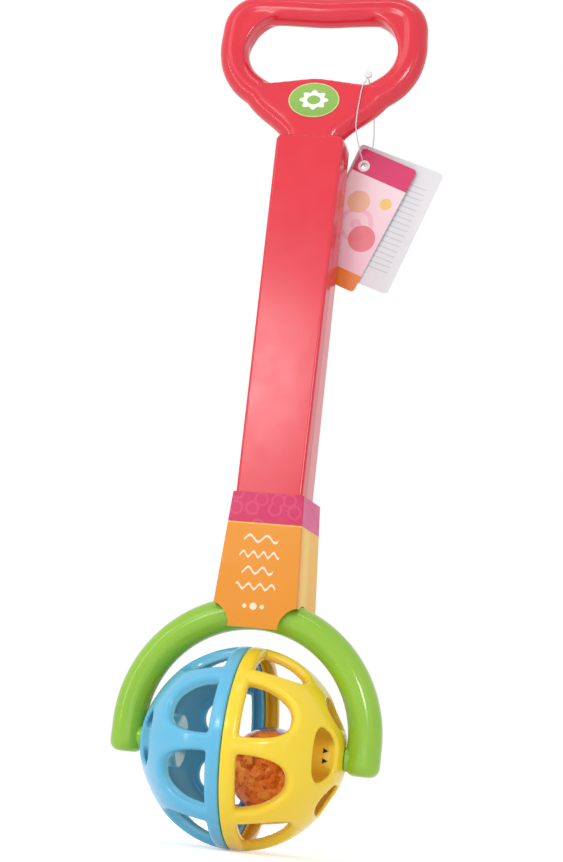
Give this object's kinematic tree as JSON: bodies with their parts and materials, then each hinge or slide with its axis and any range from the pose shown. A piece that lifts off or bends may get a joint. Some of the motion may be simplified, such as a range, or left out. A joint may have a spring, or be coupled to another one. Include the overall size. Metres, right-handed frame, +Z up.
{
  "type": "toddler push toy with rolling cage ball",
  "caption": "Push toy with a D-shaped grip, a flat shaft, a green fork and a two-colour cage ball that rolls with a loose chime ball inside.",
  "frame": {"origin": "the point where the cage ball touches the floor, straight under the middle of the ball", "axes": "+X to the yellow side along the ball's axle, +Y to the back where the screws are, +Z up along the shaft to the grip"},
  "size_m": [0.1856, 0.136, 0.6103],
  "materials": {
    "red_plastic": "glossy injection-moulded plastic",
    "green_plastic": "glossy injection-moulded plastic",
    "blue_plastic": "satin-gloss injection-moulded plastic",
    "yellow_plastic": "satin-gloss injection-moulded plastic",
    "orange_clear_plastic": "clear orange plastic",
    "clear_plastic": "clear plastic with a lilac tint",
    "white_plastic": "satin plastic",
    "steel": "zinc-plated steel",
    "brass": "plain brass",
    "bead_plastic": "glossy plastic",
    "badge_print": "printed vinyl label, green with a thin orange edge",
    "orange_card": "coated printed card",
    "pink_card": "coated printed card",
    "white_card": "uncoated card with faint grey rules",
    "nylon_line": "clear nylon line"
  },
  "bodies": {
    "handle": {"handle_front_shell": "red_plastic", "handle_rear_shell": "red_plastic", "shell_screw_1": "steel", "shell_screw_2": "steel", "shell_screw_3": "steel", "shell_screw_4": "steel", "shell_screw_5": "steel", "shell_screw_6": "steel", "stem_screw": "steel", "badge_sticker": "badge_print", "card_sleeve": "orange_card", "fork_front_shell": "green_plastic", "fork_rear_shell": "green_plastic", "fork_screw_1": "steel", "fork_screw_2": "steel", "fork_screw_3": "steel", "fork_screw_4": "steel", "axle_peg_left": "green_plastic", "axle_peg_right": "green_plastic", "axle_washer_left": "steel", "axle_washer_right": "steel", "axle_screw_left": "steel", "axle_screw_right": "steel", "tag_loop": "nylon_line", "tag_button": "nylon_line"},
    "cage_ball": {"blue_cage_half": "blue_plastic", "yellow_cage_half": "yellow_plastic"},
    "chime_ball": {"chime_orange_half": "orange_clear_plastic", "chime_clear_half": "clear_plastic", "chime_frame": "white_plastic", "chime_tine_1": "steel", "chime_tine_2": "steel", "chime_tine_3": "steel", "chime_tine_4": "steel", "chime_bead_1": "bead_plastic", "chime_bead_2": "bead_plastic", "chime_bead_3": "bead_plastic"},
    "striker": {"chime_striker": "brass"},
    "tag": {"tag_front_leaf": "pink_card", "tag_rear_leaf": "white_card"}
  },
  "joints": [
    {"name": "ball_roll", "type": "hinge", "parent": "handle", "child": "cage_ball", "pos_m": [0, 0, 0.068], "axis": [1, 0, 0], "continuous": true},
    {"name": "chime_roll", "type": "hinge", "parent": "cage_ball", "child": "chime_ball", "pos_m": [0, 0, 0.068], "axis": [1, 0, 0], "continuous": true},
    {"name": "striker_swing", "type": "hinge", "parent": "chime_ball", "child": "striker", "pos_m": [0.0145, 0.03239, 0.05962], "axis": [1, 0, 0], "range_deg": [-20, 20]},
    {"name": "tag_swing", "type": "hinge", "parent": "handle", "child": "tag", "pos_m": [0.0349, 0.024, 0.4929], "axis": [1, 0, 0], "range_deg": [0, 20]}
  ]
}
